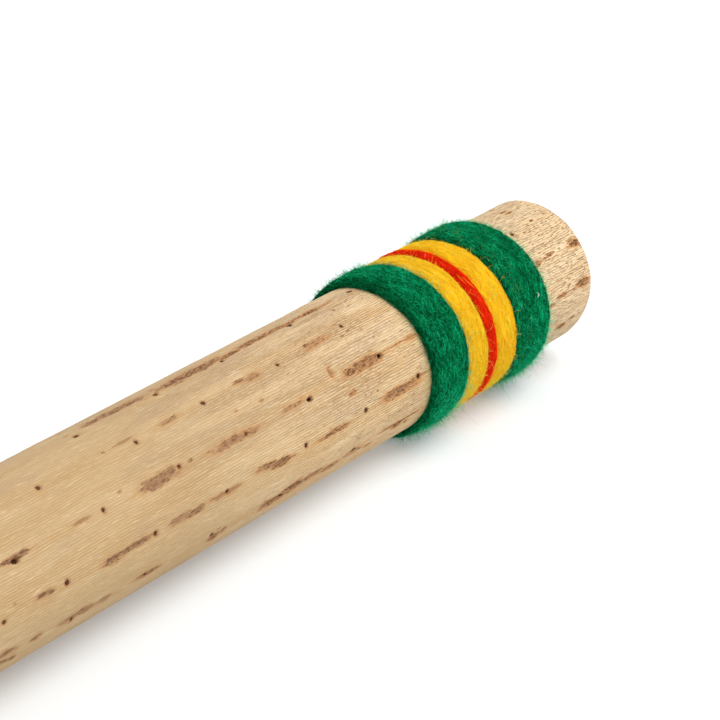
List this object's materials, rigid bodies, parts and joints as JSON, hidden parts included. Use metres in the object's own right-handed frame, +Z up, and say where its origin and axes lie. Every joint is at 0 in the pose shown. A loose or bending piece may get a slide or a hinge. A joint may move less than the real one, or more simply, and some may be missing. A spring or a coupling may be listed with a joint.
{
  "type": "rainstick",
  "caption": "Sealed wooden tube crossed by thorns, with loose stones inside that patter down as it is tipped; coloured wool is wound round both ends.",
  "frame": {"origin": "on the surface that the stick lies on, under its middle", "axes": "+X along the stick towards the end where the stones are gathered, +Z up"},
  "size_m": [0.5, 0.0548, 0.0542],
  "materials": {
    "cactus_wood": "bare, dry and satin, with dark scars",
    "plug_wood": "sawn end grain",
    "dried_glue": "dried wood glue with sawdust",
    "green_wool": "felted, fuzzy wool strand",
    "yellow_wool": "felted, fuzzy wool strand",
    "red_wool": "felted, fuzzy wool strand",
    "thorn": "dark, smooth and waxy",
    "stone": "river-worn"
  },
  "bodies": {
    "stick": {"cactus_tube": "cactus_wood", "end_plug_left": "plug_wood", "end_plug_right": "plug_wood", "glue_bead_left": "dried_glue", "glue_bead_right": "dried_glue", "wool_green_outer_left": "green_wool", "wool_yellow_outer_left": "yellow_wool", "wool_red_left": "red_wool", "wool_yellow_inner_left": "yellow_wool", "wool_green_inner_left": "green_wool", "wool_green_outer_right": "green_wool", "wool_yellow_outer_right": "yellow_wool", "wool_red_right": "red_wool", "wool_yellow_inner_right": "yellow_wool", "wool_green_inner_right": "green_wool", "thorn_row_1": "thorn", "thorn_row_2": "thorn", "thorn_row_3": "thorn", "thorn_row_4": "thorn", "thorn_row_5": "thorn", "thorn_row_6": "thorn", "thorn_row_7": "thorn", "thorn_row_8": "thorn", "thorn_row_9": "thorn", "thorn_row_10": "thorn", "thorn_row_11": "thorn", "thorn_row_12": "thorn"},
    "stone_row_1": {"stone_row_1": "stone"},
    "stone_row_2": {"stone_row_2": "stone"},
    "stone_row_3": {"stone_row_3": "stone"},
    "stone_row_4": {"stone_row_4": "stone"},
    "stone_row_5": {"stone_row_5": "stone"},
    "stone_row_6": {"stone_row_6": "stone"},
    "stone_row_7": {"stone_row_7": "stone"}
  },
  "joints": [
    {"name": "stone_row_1_slide", "type": "slide", "parent": "stick", "child": "stone_row_1", "axis": [1, 0, 0], "range_m": [-0.247, 0]},
    {"name": "stone_row_2_slide", "type": "slide", "parent": "stick", "child": "stone_row_2", "axis": [1, 0, 0], "range_m": [-0.264, 0]},
    {"name": "stone_row_3_slide", "type": "slide", "parent": "stick", "child": "stone_row_3", "axis": [1, 0, 0], "range_m": [-0.287, 0]},
    {"name": "stone_row_4_slide", "type": "slide", "parent": "stick", "child": "stone_row_4", "axis": [1, 0, 0], "range_m": [-0.327, 0]},
    {"name": "stone_row_5_slide", "type": "slide", "parent": "stick", "child": "stone_row_5", "axis": [1, 0, 0], "range_m": [-0.304, 0]},
    {"name": "stone_row_6_slide", "type": "slide", "parent": "stick", "child": "stone_row_6", "axis": [1, 0, 0], "range_m": [-0.339, 0]},
    {"name": "stone_row_7_slide", "type": "slide", "parent": "stick", "child": "stone_row_7", "axis": [1, 0, 0], "range_m": [-0.363, 0]}
  ]
}
